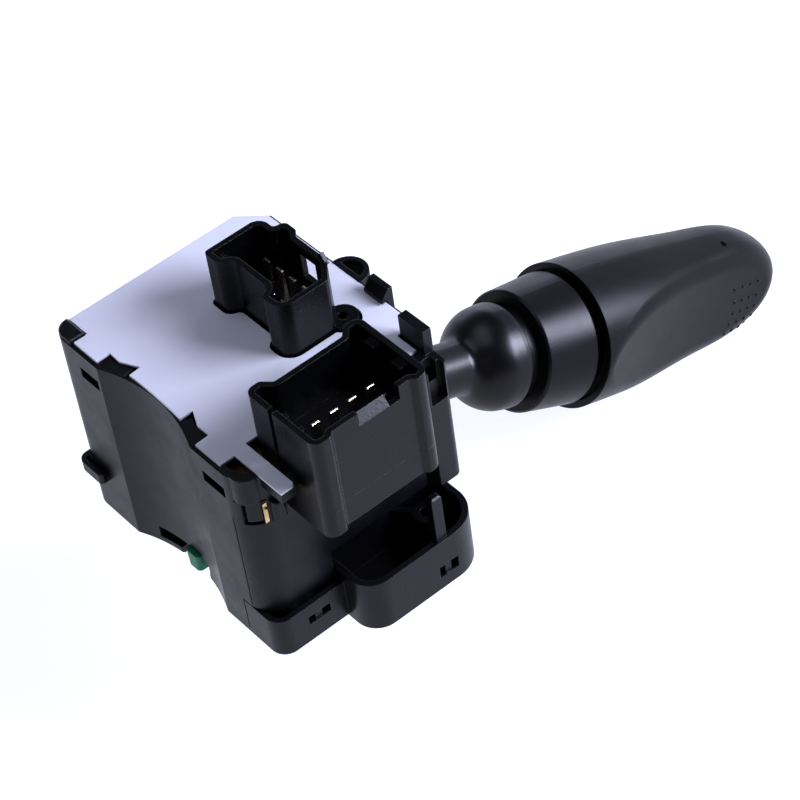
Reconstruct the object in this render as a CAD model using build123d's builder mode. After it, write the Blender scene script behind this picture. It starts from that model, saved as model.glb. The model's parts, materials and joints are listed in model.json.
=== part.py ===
import os
from math import cos, radians, sin

from build123d import *

# Combination stalk switch for a steering column.
# X runs from the column to the knob, Z runs along the column towards the plugs,
# and the origin is the turn axis at the bottom face of the case.

# Case
case_left = 31.0            # turn axis to the face beside the column
case_right = 27.3           # turn axis to the face that the stalk leaves
case_right_front = 24.4     # the same, where the wall steps in at the front
case_back = 34.7
back_round = 4.4            # round corner above the ear
case_front = 35.2           # front wall of the upper case
wall_top = 54.4             # the cover plate rests on this edge
case_wall = 2.0
case_corner = 7.0           # round corner beside the tray
back_chamfer = 6.2
right_step_y = -24.0        # where the right wall steps in
front_step = 2.5            # the front wall steps out beside the plug housing
front_step_x = 18.0
scallop_half = 17.2         # the column passes this hollow
scallop_depth = 3.7

# Lower cover
floor = 2.2
tray_front = 37.7
tray_corner = 4.0
tray_height = 11.6
tray_wall = 1.4
tray_end_x = -12.0
tray_end_y = -25.9
pocket_left = -12.0
pocket_right = 22.4
pocket_front = -46.7
pocket_back = -28.4
pocket_height = 14.5
pocket_wall = 1.6
pocket_round_left = 6.0
pocket_round_right = 9.0
pocket_lift = 19.5          # underside of the upper case over the pocket
post_x = 10.2               # upright post on the pocket's front wall
post_width = 2.8
post_depth = 2.2
pillar_x, pillar_y = 13.6, -36.2
post_top = 27.8
seam = 0.3                  # clearance between fitted pieces
beyond = 60.0               # open-ended cuts reach this far

# Cover plate and terminal board
plate_thick = 0.6
plate_top = wall_top + plate_thick
deck_thick = 2.0
board_thick = 1.6
board_under = 49.4
board_top = board_under + board_thick
deck_top = 46.4
deck_under = deck_top - deck_thick
track_thick = 0.3

# Plug housings
rim_top = 70.0
plug_wall = 1.4
plug_floor_top = 57.5
plug_floor = 2.0
plug_base = board_top + 0.2
rear_left, rear_right = 0.0, 17.4
rear_front, rear_back = -12.8, 14.5
rear_waist = 3.0            # the left wall steps in between two lobes
front_left, front_right = -20.4, 10.7
front_front, front_back = -48.9, -26.4
front_waist = 2.4           # the back wall steps in between two lobes
front_lobe = 1.1            # the lobes stand out of the front wall
skirt_top = 48.5
skirt_bottom = 41.5
plate_gap = 0.6             # dark gap round each plug housing
ear_x, ear_y = 16.6, -11.2  # small screw boss on the rear plug housing
ear_radius = 3.7
ear_hole = 1.25
ear_top = 56.0
blade_wide = 2.2
blade_thin = 0.8
blade_top = 63.0
blade_pitch = 5.0

# Stalk: its axis passes through the turn axis and slopes down towards the knob
pivot_height = 25.6
stalk_drop = 20.5
turn_limit = 12.0
tilt_limit = 6.0
neck_radius = 6.8
neck_bore = 4.2
hub_radius = 9.0
hub_half = 9.0
neck_end = 56.0             # distances along the stalk are from the pivot
bell_end = 70.0
bell_radius = 13.3
core_radius = 12.0
core_end = 86.0
collar_start = bell_end + 3.4
collar_end = core_end + 2.6
collar_radius_start = 15.5
collar_radius_end = 17.0
shell_wall = 1.8
knob_start = core_end + 5.0
knob_radius = 18.7
knob_length = 73.8
knob_lift = 1.6             # the knob leans up from the stalk's axis
scoop_foot = 19.8           # half widths between the scoops at the foot, at the station and past the tip
scoop_waist = 13.2
scoop_tip = 8.8
scoop_station = knob_length - 51.8
ridge_round = 6.0           # soft ridges where the scoops meet the turned form
spindle_radius = 5.5
spindle_bore = 3.2
spindle_tail = 4.4          # the spindle stands out of its clip
spindle_start = 60.0
running = 0.05              # radial clearance of a running fit

# Turn carrier
trunnion_radius = 5.0
shoulder_radius = 8.0
carrier_half = 13.0
carrier_low, carrier_high = 8.0, 41.0
carrier_plate = 3.0
cheek_inner = 9.5
cheek_outer = 12.5
pin_radius = 2.0
peg_reach = 15.0            # turn axis to the peg that drives the turn slider
peg_radius = 1.8
ball_reach = 16.0           # pivot to the ball that drives the beam slider
ball_radius = 2.0

# Turn detent
track_radius = 21.4         # crests of the detent track
valley_depth = 0.9
valley_radius = 3.0
plunger_radius = 2.4
plunger_height = 14.2
plunger_travel = 1.0
barrel_radius = 4.0
barrel_end = 19.0

# Cancel pawl
pawl_pivot_x = -18.0
pawl_tip_x = -28.4
pawl_half = 3.0
pawl_offset = -1.0
pawl_thick = 2.6
pawl_post = 1.5

# Sliders, contacts and clicks
slider_half = 8.0
slider_left, slider_right = -21.5, -8.5
slider_under = deck_top + 0.2
slider_top = slider_under + 1.7
strip_thick = 0.3
cheek_half = 9.0
pin_inner = 5.3             # the pivot pins leave the middle of the hub free
barrel_bottom = 10.3
plunger_start = 14.5
track_top = plunger_height + 4.8
beam_left, beam_right = -22.6, -21.0
beam_half = 7.9
beam_back = -19.6
clip_start = knob_start + 44.6
clip_thick = 1.0
spindle_end = clip_start + spindle_tail
clip_seat = 4.7
knob_turn = 60.0            # switching angle of the light knob
click_station = knob_start + 13.0
click_ball = 1.2
ball_boss = 11.0

stalk_dir = Vector(cos(radians(stalk_drop)), 0, -sin(radians(stalk_drop)))
pivot = Vector(0, 0, pivot_height)
stalk_axis = Axis(pivot, stalk_dir)
stalk_side = Plane(origin=pivot, x_dir=stalk_dir, z_dir=(0, -1, 0))
knob_dir = Vector(cos(radians(stalk_drop - knob_lift)), 0, -sin(radians(stalk_drop - knob_lift)))
knob_foot = pivot + stalk_dir * knob_start
knob_side = Plane(origin=knob_foot, x_dir=knob_dir, z_dir=(0, -1, 0))
knob_above = Plane(origin=knob_foot, x_dir=knob_dir, z_dir=knob_dir.cross(Vector(0, 1, 0)))


def stalk_station(distance):
    """Plane square to the stalk, with its x along Y."""
    return Plane(origin=pivot + stalk_dir * distance, x_dir=(0, 1, 0), z_dir=stalk_dir)


def save(piece, name):
    piece.part.label = name
    export_step(piece.part, f"parts/{name}.step")


def case_plan(height, inset=0.0, front=case_front, corner=case_corner):
    """Plan of the case at a height, with the hollow for the column on the left."""
    left, back = -case_left, case_back
    with BuildSketch(Plane.XY.offset(height)) as plan:
        with BuildLine():
            Line((left, back), (left, scallop_half))
            ThreePointArc((left, scallop_half), (left + scallop_depth, 0), (left, -scallop_half))
            Polyline(
                (left, -scallop_half),
                (left, -front),
                (front_step_x - 2, -front),
                (front_step_x, -max(front, case_front + front_step)),
                (case_right_front, -max(front, case_front + front_step)),
                (case_right_front, right_step_y - 2),
                (case_right, right_step_y),
                (case_right, back - back_chamfer),
                (case_right - back_chamfer, back),
                (left, back),
            )
        make_face()
        fillet(plan.vertices().sort_by_distance((left, -front))[0], corner)
        fillet(plan.vertices().sort_by_distance((left, back))[0], back_round)
        fillet(plan.vertices().sort_by_distance((case_right_front, -front))[0], 2.0)
        if inset:
            offset(amount=-inset, kind=Kind.INTERSECTION)
    return plan.sketch


def pocket_plan(height, inset=0.0):
    """Plan of the open pocket at the front of the lower cover."""
    width = pocket_right - pocket_left
    depth = pocket_back - pocket_front
    with BuildSketch(Plane.XY.offset(height)) as plan:
        with Locations(((pocket_left + pocket_right) / 2, (pocket_front + pocket_back) / 2)):
            Rectangle(width, depth)
        fillet(plan.vertices().sort_by_distance((pocket_left, pocket_front))[0], pocket_round_left)
        fillet(plan.vertices().sort_by_distance((pocket_right, pocket_front))[0], pocket_round_right)
        fillet(plan.vertices().sort_by_distance((pocket_right, pocket_back))[0], 4.0)
        if inset:
            offset(amount=-inset, kind=Kind.INTERSECTION)
    return plan.sketch


def block(x0, x1, y0, y1, z0, z1, mode=Mode.ADD):
    """A box between two corners."""
    with Locations(((x0 + x1) / 2, (y0 + y1) / 2, (z0 + z1) / 2)):
        return Box(x1 - x0, y1 - y0, z1 - z0, mode=mode)


def rounded_outline(height, corners, grow=0.0):
    """Closed outline through corners, each given by its x, its y and its radius."""
    with BuildSketch(Plane.XY.offset(height)) as plan:
        with BuildLine():
            Polyline(*[(x, y) for x, y, radius in corners], close=True)
        make_face()
        for x, y, radius in corners:
            fillet(plan.vertices().sort_by_distance((x, y))[0], radius)
        if grow:
            offset(amount=grow, kind=Kind.INTERSECTION)
    return plan.sketch


def rear_plug_plan(height, grow=0.0):
    """Outline of the rear plug housing, with two lobes on the left and a key on the right."""
    waist, key, back_right = rear_left + rear_waist, rear_right + 1.4, rear_right - 1.6
    corners = [
        (rear_left, rear_back, 1.0), (rear_left, 9.2, 2.0), (waist, 7.6, 2.0), (waist, -4.6, 2.0),
        (rear_left, -6.4, 2.0), (rear_left, rear_front, 3.5), (rear_right - 4.0, rear_front, 1.5),
        (rear_right, -7.4, 1.5), (rear_right, 3.4, 1.0), (key, 5.2, 1.0), (key, 9.0, 1.5),
        (back_right, 9.6, 0.9), (back_right, rear_back, 3.0),
    ]
    return rounded_outline(height, corners, grow)


def front_plug_plan(height, grow=0.0):
    """Outline of the front plug housing, with a lobe at each corner."""
    waist, nose = front_back - front_waist, front_front - front_lobe
    corners = [
        (front_left, front_back, 2.2), (front_left, nose, 2.5), (front_left + 4.4, nose, 1.2),
        (front_left + 5.4, front_front, 0.8), (front_right - 4.6, front_front, 0.8),
        (front_right - 3.6, nose, 1.2), (front_right, nose, 2.5), (front_right, front_back, 2.2),
        (front_right - 4.2, front_back, 1.2), (front_right - 6.4, waist, 1.2),
        (front_left + 6.2, waist, 1.2), (front_left + 4.0, front_back, 1.2),
    ]
    return rounded_outline(height, corners, grow)


def clip_window(x0, x1, face_y, z0, z1, wall):
    """Window in a front wall with the nose of a clip standing in its middle."""
    third = (x1 - x0) / 3
    block(x0, x1, face_y - 1, face_y + wall, z0, z1, Mode.SUBTRACT)
    block(x0 + third, x1 - third, face_y + 0.4, face_y + wall, z0 - 0.4, z1 - 0.5)


def bridge_contact(plane, half, crest):
    """Side view of a contact strip with two rounded bumps, on the plane's local x."""
    with BuildSketch(plane) as strip:
        with BuildLine():
            Polyline((-half, 0), (half, 0), (half, strip_thick))
            ThreePointArc((half, strip_thick), (half * 0.65, crest), (half * 0.3, strip_thick))
            Line((half * 0.3, strip_thick), (-half * 0.3, strip_thick))
            ThreePointArc((-half * 0.3, strip_thick), (-half * 0.65, crest), (-half, strip_thick))
            Line((-half, strip_thick), (-half, 0))
        make_face()
    return strip.sketch


def coil(centre, direction, radius, wire, length, turns):
    """A coil spring from its first wire centre along a direction."""
    with BuildPart() as spring:
        with BuildLine() as path:
            Helix(length / turns, length, radius, center=centre, direction=direction)
        with BuildSketch(Plane(origin=path.line @ 0, z_dir=path.line % 0)):
            RegularPolygon(wire, 8)
        sweep(is_frenet=True)
    return spring


os.makedirs("parts", exist_ok=True)

screw_points = [(-26.0, 29.7), (22.4, 25.6), (-26.0, -27.5)]
screw_radius = 1.5
screw_head = 2.9
screw_length = 11.0
boss_radius = 3.4
boss_top = 14.0
mouth_half = 13.4
mouth_top = 27.4
tray_gap = 0.2
ear_low, ear_high = 12.0, 15.0
hook_low, hook_high = 44.0, 58.6         # snap hook on the right wall
tab_top = 61.2
clip_slot_low = 44.4
tongue_x0, tongue_x1 = -16.5, 7.5      # the board's tongue under the front plug
latch_left, latch_right = -30.6, -25.4  # snap latch in the round front corner
latch_low = 40.3
latch_high = 47.0

# Upper case: a deep shell with a deck for the turn slider and a ledge for the terminal board
with BuildPart() as upper_case:
    extrude(case_plan(floor), amount=wall_top - floor)
    extrude(case_plan(floor, case_wall), amount=deck_under - floor, mode=Mode.SUBTRACT)
    extrude(case_plan(deck_top, case_wall + 1.6), amount=wall_top - deck_top, mode=Mode.SUBTRACT)
    extrude(case_plan(board_under, case_wall), amount=wall_top - board_under, mode=Mode.SUBTRACT)
    # clear of the pocket and stepped in behind the tray
    block(pocket_left - seam, beyond, -beyond, pocket_back + seam, 0, pocket_lift, Mode.SUBTRACT)
    with BuildSketch(Plane.XY.offset(floor)) as behind_tray:
        add(case_plan(floor))
        add(case_plan(floor, tray_wall + tray_gap), mode=Mode.SUBTRACT)
        with Locations((tray_end_x + seam - beyond / 2, tray_end_y + seam - beyond / 2)):
            Rectangle(beyond, beyond, mode=Mode.INTERSECT)
    extrude(amount=tray_height - floor + seam, mode=Mode.SUBTRACT)
    # screw bosses
    with BuildSketch(Plane.XY.offset(floor)):
        with Locations(*screw_points):
            Circle(boss_radius)
    extrude(amount=boss_top - floor)
    extrude(case_plan(floor), amount=wall_top - floor, mode=Mode.INTERSECT)
    with BuildSketch(Plane.XY.offset(floor)):
        with Locations(*screw_points):
            Circle(screw_radius + 0.02)
    extrude(amount=screw_length, mode=Mode.SUBTRACT)
    # mouth for the stalk
    with BuildSketch(Plane.YZ.offset(case_right - case_wall - 4)) as mouth:
        with Locations((0, mouth_top / 2)):
            Rectangle(2 * mouth_half, mouth_top)
        fillet(mouth.vertices().group_by(Axis.Y)[-1], 5)
    extrude(amount=case_wall + 8, mode=Mode.SUBTRACT)
    # bearing for the trunnion and slot for the peg
    with Locations((0, 0, deck_top)):
        Hole(trunnion_radius + running, depth=deck_thick)
    peg_swing = peg_reach * sin(radians(turn_limit))
    with BuildSketch(Plane.XY.offset(deck_under)):
        with Locations((-peg_reach + 0.3, 0)):
            SlotOverall(2 * (peg_swing + peg_radius + 0.8), 2 * (peg_radius + 0.8), rotation=90)
    extrude(amount=deck_thick, mode=Mode.SUBTRACT)
    # rails of the turn slider
    for rail in (slider_left - seam - 0.9, slider_right + seam + 0.9):
        block(rail - 0.9, rail + 0.9, -14, 14, deck_top, slider_top + 0.1)
    # slot for the cancel pawl in the hollow and windows of the plate clips
    block(-case_left - 2, -23, -7, 11, floor, floor + 3.4, Mode.SUBTRACT)
    for low_y, high_y in ((18.2, 25.0), (-28.1, -20.4)):
        block(-case_left - 2, -case_left + case_wall + 0.1, low_y, high_y, 46.6, 49.6, Mode.SUBTRACT)
    # clip slot in the front wall beside the plug block
    block(front_step_x + 0.6, case_right_front - 1.2, -beyond, -case_front - front_step + case_wall + 0.1,
          clip_slot_low, wall_top + 1, Mode.SUBTRACT)
    # the board's tongue and the plug block pass the front wall
    pass_y = -case_front + case_wall + 0.5
    block(tongue_x0 - 0.5, tongue_x1 + 0.5, -beyond, pass_y, board_under - 0.2, wall_top + 1, Mode.SUBTRACT)
    block(front_left - 1.2, front_right + 1, -beyond, pass_y, board_top, wall_top + 1, Mode.SUBTRACT)
    # shelf under the strip of the cover plate
    block(-25.8, front_left - 1.2, -42.2, -case_front + 1, wall_top - 3, wall_top)
    # cap beside the strip at the right
    block(20.0, case_right_front - case_wall + 0.2, -33.5, -25.0, board_top + 0.4, wall_top)
    # slits round the snap latch
    block(-case_left - 1, -28.8, -32.6, -31.7, latch_low, latch_high, Mode.SUBTRACT)
    block(latch_left, latch_right, -36, -32.2, latch_low, latch_low + 1, Mode.SUBTRACT)
    block(latch_right - 1.3, latch_right, -36, -33.6, latch_low, 46.4, Mode.SUBTRACT)
    # groove over the latch and parting line under it
    with BuildSketch(Plane.XY.offset(latch_high)):
        with Locations((-case_left, -case_front)):
            Rectangle(11.4, 10.0)
        add(case_plan(latch_high, 0.5), mode=Mode.SUBTRACT)
    extrude(amount=0.4, mode=Mode.SUBTRACT)
    block(-case_left - 1, -case_left + 0.3, -29.3, -29.0, tray_height + 1, latch_low + 1, Mode.SUBTRACT)
    # rounded bead beside the contact
    with BuildPart(mode=Mode.PRIVATE) as bead:
        block(-25.0, -21.3, -case_front - 1.5, -case_front + 0.5, latch_low, latch_high - 0.4)
        fillet(bead.edges().group_by(Axis.Y)[0], 1.2)
    add(bead.part)
    # lugs that stand in the notches of the cover plate
    with BuildSketch(Plane.XY.offset(wall_top)):
        for side in (-1, 1):
            with BuildLine():
                Polyline(
                    (-30.5, side * 17.6), (-27.0, side * 17.6), (-27.1, side * 14.4), (-25.4, side * 10.7),
                    (-28.2, side * 10.7), (-30.5, side * 17.6),
                )
            make_face()
    extrude(amount=plate_thick - 0.3)
    with BuildSketch(Plane.XY.offset(latch_high + 0.4)) as corner_lug:
        with Locations((-case_left + 2.4, -case_front + 4.2)):
            Rectangle(4.0, 7.6)
        fillet(corner_lug.vertices().sort_by_distance((-case_left, -case_front))[0], 3.4)
        add(case_plan(latch_high + 0.4, case_wall), mode=Mode.SUBTRACT)
    extrude(amount=wall_top - latch_high - 0.4)
    with BuildSketch(Plane.XY.offset(wall_top)):
        add(corner_lug.sketch.moved(Location((0, 0, -latch_high - 0.4))))
    extrude(amount=plate_thick - 0.2)
    with BuildSketch(Plane.XY.offset(wall_top - 2)) as corner_hook:
        with Locations((-case_left + 2.3, case_back - 3.8)):
            Rectangle(4.2, 7.0)
        fillet(corner_hook.vertices().sort_by_distance((-case_left, case_back))[0], 3.6)
    extrude(amount=plate_thick + 2.8)
    fillet(upper_case.faces().sort_by(Axis.Z)[-1].edges(), 0.8)
    # ear on the lower back corner
    with BuildSketch(Plane.XY.offset(ear_low)) as ear:
        with Locations((-case_left + 0.8, case_back - 4.7)):
            Rectangle(6.0, 9.0)
        fillet(ear.vertices().group_by(Axis.Y)[-1], 2.4)
        fillet(ear.vertices().sort_by_distance((-case_left - 2, case_back - 9.2))[0], 1.0)
        add(case_plan(ear_low, 1.0), mode=Mode.SUBTRACT)
    extrude(amount=ear_high - ear_low)
    block(-case_left - 1.1, -case_left, case_back - 9.7, case_back - 1.7, ear_high - 1.8, ear_high + 0.1,
          Mode.SUBTRACT)
    # half-round lug, snap hook and latch tab on the right wall
    with BuildSketch(Plane.XY.offset(49.6)):
        with Locations((case_right - 0.3, 0)):
            Circle(5.0)
        with Locations((case_right - 5.6, 0)):
            Rectangle(10, 12, mode=Mode.SUBTRACT)
    extrude(amount=5.6)
    with BuildSketch(Plane.XY.offset(53.4)):
        with Locations((case_right + 0.2, 0)):
            Circle(3.4)
        with Locations((case_right - 4.4, 0)):
            Rectangle(10, 12, mode=Mode.SUBTRACT)
    extrude(amount=3, mode=Mode.SUBTRACT)
    with BuildSketch(Plane.XZ.offset(8.0)):
        with BuildLine():
            Polyline(
                (case_right - 0.4, hook_low), (case_right - 0.4, plate_top + 0.3), (25.3, plate_top + 0.4),
                (25.4, plate_top + 1.2), (case_right, hook_high), (case_right + 1.3, hook_high),
                (case_right + 1.3, hook_low + 2), (case_right - 0.4, hook_low),
            )
        make_face()
    extrude(amount=6.3)
    block(case_right_front - 2.4, case_right_front, -32.8, -24.6, board_top, tab_top)
save(upper_case, "upper_case")

# Lower cover: floor, tray round the front left corner and the open pocket
with BuildPart() as lower_cover:
    extrude(case_plan(0, 0, tray_front, tray_corner), amount=tray_height)
    chamfer(lower_cover.edges().group_by(Axis.Z)[0], 0.6)
    extrude(case_plan(floor, tray_wall, tray_front, tray_corner), amount=tray_height, mode=Mode.SUBTRACT)
    block(tray_end_x, beyond, -beyond, beyond, floor, beyond, Mode.SUBTRACT)
    block(-beyond, beyond, tray_end_y, beyond, floor, beyond, Mode.SUBTRACT)
    extrude(pocket_plan(0), amount=pocket_height)
    extrude(pocket_plan(floor, pocket_wall), amount=pocket_height, mode=Mode.SUBTRACT)
    # post on the pocket's front wall, rib and pillar inside the pocket
    block(post_x - post_width / 2, post_x + post_width / 2, pocket_front + 0.6,
          pocket_front + 0.6 + post_depth, floor, post_top)
    chamfer(lower_cover.faces().sort_by(Axis.Z)[-1].edges(), 0.5)
    with BuildSketch(Plane.XY.offset(floor - 0.2)):
        with BuildLine():
            Polyline(
                (7.6, pocket_back - 1), (9.0, pocket_back - 1), (pillar_x - 0.8, pillar_y + 2.2),
                (pillar_x - 2.0, pillar_y + 1.4), (7.6, pocket_back - 1),
            )
        make_face()
        with Locations((pillar_x, pillar_y)):
            Circle(3.2)
    extrude(amount=pocket_height - floor - 1.0)
    with Locations((pillar_x, pillar_y, pocket_height - 1.2)):
        Hole(1.4, depth=8)
    # bearing of the carrier and post of the pawl
    with Locations((0, 0, floor)):
        Cylinder(shoulder_radius, carrier_low - floor - seam, align=(Align.CENTER, Align.CENTER, Align.MIN))
    with Locations((0, 0, carrier_low - seam)):
        Hole(trunnion_radius + running, depth=carrier_low - seam - floor)
    with Locations((pawl_pivot_x, 0, floor)):
        Cylinder(pawl_post, 6.0, align=(Align.CENTER, Align.CENTER, Align.MIN))
    # notch for the nose of the pawl
    block(-case_left - 1, -24.4, -6.6, 4.6, -1, floor + 1, Mode.SUBTRACT)
    clip_window(-22.6, -16.5, -tray_front, 5.7, 8.1, tray_wall)
    clip_window(8.0, 13.4, pocket_front, 3.5, 6.8, pocket_wall)
    # screw holes
    with Locations(*[(x, y, 0) for x, y in screw_points]):
        Cylinder(screw_radius + 0.2, 3 * floor, mode=Mode.SUBTRACT)
        Cone(screw_head + 0.1, screw_radius + 0.2, 1.6, align=(Align.CENTER, Align.CENTER, Align.MIN),
             mode=Mode.SUBTRACT)
save(lower_cover, "lower_cover")

# Three countersunk screws with crossed drives
with BuildPart() as case_screws:
    with Locations(*[(x, y, 0) for x, y in screw_points]):
        Cone(screw_head, screw_radius, 1.5, align=(Align.CENTER, Align.CENTER, Align.MIN))
        Cylinder(screw_radius, screw_length, align=(Align.CENTER, Align.CENTER, Align.MIN))
        Box(3.0, 0.6, 1.4, mode=Mode.SUBTRACT)
        Box(0.6, 3.0, 1.4, mode=Mode.SUBTRACT)
save(case_screws, "case_screws")

# Cover plate: thin white sheet over the terminal board, cut round the plugs and the clips
with BuildPart() as cover_plate:
    with BuildSketch(Plane.XY.offset(wall_top)) as sheet:
        with BuildLine():
            Polyline(
                (-27.4, 9.6), (-24.2, 9.9), (-26.5, 14.6), (-26.3, 18.4), (-30.0, 18.4), (-30.0, 27.2),
                (-26.3, 27.2), (-26.3, 34.2), (20.6, 34.2), (26.6, 28.4), (26.6, -23.4),
                (21.4, -24.2), (21.4, -30.6), (19.5, -30.6), (19.5, -25.6), (-22.1, -25.6), (-22.1, -42.6),
                (-26.0, -42.6), (-26.0, -26.8), (-30.0, -26.8), (-30.0, -18.0), (-26.2, -17.8),
                (-26.3, -13.9), (-24.2, -9.4), (-27.7, -9.4),
            )
            ThreePointArc((-27.7, -9.4), (-27.2, 0.0), (-27.4, 9.6))
        make_face()
        fillet(sheet.vertices().sort_by_distance((-22.1, -42.6))[0], 1.2)
        add(rear_plug_plan(wall_top, plate_gap), mode=Mode.SUBTRACT)
        with Locations((ear_x, ear_y)):
            Circle(ear_radius + plate_gap, mode=Mode.SUBTRACT)
    extrude(amount=plate_thick)
save(cover_plate, "cover_plate")

# Plug housings: an open shroud on a hollow foot, with slots for the blades
front_rows = (-42.7, -38.3)
front_blades = [-12.0 + blade_pitch * n for n in range(4)]
rear_columns = (6.4, 12.4)
rear_blades = [9.0 - 4.5 * n for n in range(4)]
slot_wide = blade_wide + 0.1
slot_thin = blade_thin + 0.1
front_mid_x = (front_left + front_right) / 2
outside_y = -case_front - 0.2           # the plug block passes down in front of the case
sill_left, sill_right, sill_top = -8.0, 3.0, 66.2
ramp_top = 68.6


def plug_block(height):
    """The part of the front plug's outline that lies in front of the case."""
    with BuildSketch(Plane.XY.offset(height)) as plan:
        add(front_plug_plan(0))
        with Locations((front_mid_x, outside_y - 15)):
            Rectangle(60, 30, mode=Mode.INTERSECT)
    return plan.sketch


with BuildPart() as front_plug_housing:
    extrude(front_plug_plan(plug_base), amount=rim_top - plug_base)
    extrude(plug_block(skirt_top), amount=plug_base - skirt_top)
    # cavity above the floor and hollow under it
    for low, high in ((plug_floor_top, rim_top), (skirt_top, plug_floor_top - plug_floor)):
        extrude(front_plug_plan(low, -plug_wall), amount=high - low, mode=Mode.SUBTRACT)
    # lowered sill of the latch with its ramp
    block(sill_left, sill_right, front_front - 1, front_front + plug_wall + 0.2, sill_top, rim_top + 1,
          Mode.SUBTRACT)
    with BuildSketch(Plane.YZ.offset(sill_left)):
        with BuildLine():
            Polyline(
                (front_front, sill_top - 1), (front_front, sill_top), (front_front + 2.0, ramp_top),
                (front_front + 2.0, sill_top), (front_front + plug_wall - 0.2, sill_top - 1),
                (front_front, sill_top - 1),
            )
        make_face()
    extrude(amount=8.2)
    # groove in the left wall and key ribs inside
    block(front_left - 1, front_left + plug_wall + 0.1, -35.7, -34.3, plug_base + 3, rim_top + 1,
          Mode.SUBTRACT)
    for rib_y in (-37.4, -42.8):
        block(front_left + plug_wall - 0.2, front_left + plug_wall + 1.2, rib_y - 0.7, rib_y + 0.7,
              plug_floor_top, rim_top - 1)
    for rib_y in (-33.4, -42.4):
        block(front_right - plug_wall - 1.8, front_right - plug_wall + 0.2, rib_y - 1.6, rib_y + 1.6,
              plug_floor_top, rim_top - 1.5)
    with BuildSketch(Plane.XY.offset(plug_floor_top)):
        with Locations(*[(x, y) for x in front_blades for y in front_rows]):
            Rectangle(slot_wide, slot_thin)
    extrude(amount=-plug_floor, mode=Mode.SUBTRACT)
save(front_plug_housing, "front_plug_housing")

with BuildPart() as rear_plug_housing:
    extrude(rear_plug_plan(plug_base), amount=rim_top - plug_base)
    with BuildSketch(Plane.XY.offset(plug_base)):
        with Locations((ear_x, ear_y)):
            Circle(ear_radius)
    extrude(amount=ear_top - plug_base)
    for low, high in ((plug_floor_top, rim_top), (plug_base, plug_floor_top - plug_floor)):
        extrude(rear_plug_plan(low, -plug_wall), amount=high - low, mode=Mode.SUBTRACT)
    # latch window in the right wall, key ribs and the spike of the locking arm
    block(rear_right - plug_wall - 0.5, rear_right + 1, -4.6, 0.8, 60.5, 67.4, Mode.SUBTRACT)
    inner_waist = rear_left + rear_waist + plug_wall
    for rib_y in (-2.8, 4.6):
        block(inner_waist - 0.2, inner_waist + 0.6, rib_y - 0.8, rib_y + 0.8, plug_floor_top, rim_top - 1)
    with BuildSketch(Plane.YZ.offset(rear_right - 1.0)):
        with BuildLine():
            Polyline((-8.4, rim_top - 0.5), (-6.6, rim_top + 1.8), (-4.6, rim_top - 0.5), close=True)
        make_face()
    extrude(amount=1.0)
    with Locations((ear_x, ear_y, ear_top)):
        Hole(ear_hole, depth=ear_top - plug_base - 1)
    with BuildSketch(Plane.XY.offset(plug_floor_top)):
        with Locations(*[(x, y) for x in rear_columns for y in rear_blades]):
            Rectangle(slot_thin, slot_wide)
    extrude(amount=-plug_floor, mode=Mode.SUBTRACT)
save(rear_plug_housing, "rear_plug_housing")


def blades(points, turned):
    """Flat plug blades with chamfered tips, standing on the terminal board."""
    wide, thin = (blade_thin, blade_wide) if turned else (blade_wide, blade_thin)
    with BuildPart() as group:
        for x, y in points:
            block(x - wide / 2, x + wide / 2, y - thin / 2, y + thin / 2, board_top, blade_top)
        chamfer(group.faces().group_by(Axis.Z)[-1].edges(), blade_thin * 0.3)
    return group


front_terminals = blades([(x, y) for x in front_blades for y in front_rows], False)
save(front_terminals, "front_terminals")
rear_terminals = blades([(x, y) for x in rear_columns for y in rear_blades], True)
save(rear_terminals, "rear_terminals")

# Skirt that closes the plug block below the parting line
with BuildPart() as terminal_skirt:
    extrude(plug_block(skirt_bottom), amount=skirt_top - skirt_bottom)
    block(front_left + 3, front_right - 3, front_front + 2, outside_y - 1.6,
          skirt_bottom - 1, skirt_top + 1, Mode.SUBTRACT)
save(terminal_skirt, "terminal_skirt")

# Brass contact at the snap latch
with BuildPart() as side_contact:
    block(latch_right - 1.2, latch_right - 0.1, -35.0, -34.4, latch_low + 0.1, 46.3)
    with Locations((latch_right - 0.65, -35.0, 44.6)):
        Sphere(0.5)
save(side_contact, "side_contact")

# Terminal board with its tongue, and the brass tracks under it
with BuildPart() as terminal_board:
    extrude(case_plan(board_under, case_wall + 0.3), amount=board_thick)
    block(tongue_x0, tongue_x1, -43.4, -30, board_under, board_top)
    block(front_step_x - 0.6, beyond, -beyond, right_step_y - 0.4, board_under, board_top, Mode.SUBTRACT)
save(terminal_board, "terminal_board")

track_columns = (-18.8, -14.9, -11.0)
with BuildPart() as board_tracks:
    for x in track_columns:
        for y in (-7.0, 0.0, 7.0):
            block(x - 1.2, x + 1.2, y - 2.9, y + 2.9, board_under - track_thick, board_under)
save(board_tracks, "board_tracks")

# Turn slider and its bridging contacts
with BuildPart() as turn_slider:
    block(slider_left, slider_right, -slider_half, slider_half, slider_under, slider_top)
    chamfer(turn_slider.edges().filter_by(Axis.Z), 1.0)
    with BuildSketch(Plane.XY.offset(slider_under)):
        with Locations((-peg_reach + 0.15, 0)):
            SlotOverall(2 * (peg_radius + running) + 1.0, 2 * (peg_radius + running))
    extrude(amount=slider_top - slider_under, mode=Mode.SUBTRACT)
save(turn_slider, "turn_slider")

wiper_crest = board_under - track_thick - running - slider_top
with BuildPart() as turn_wipers:
    for x in (track_columns[0], track_columns[2]):
        strip_plane = Plane.YZ.offset(x - 0.8).shift_origin((x - 0.8, 0, slider_top))
        extrude(bridge_contact(strip_plane, 6.5, wiper_crest), amount=1.6)
save(turn_wipers, "turn_wipers")

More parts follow.
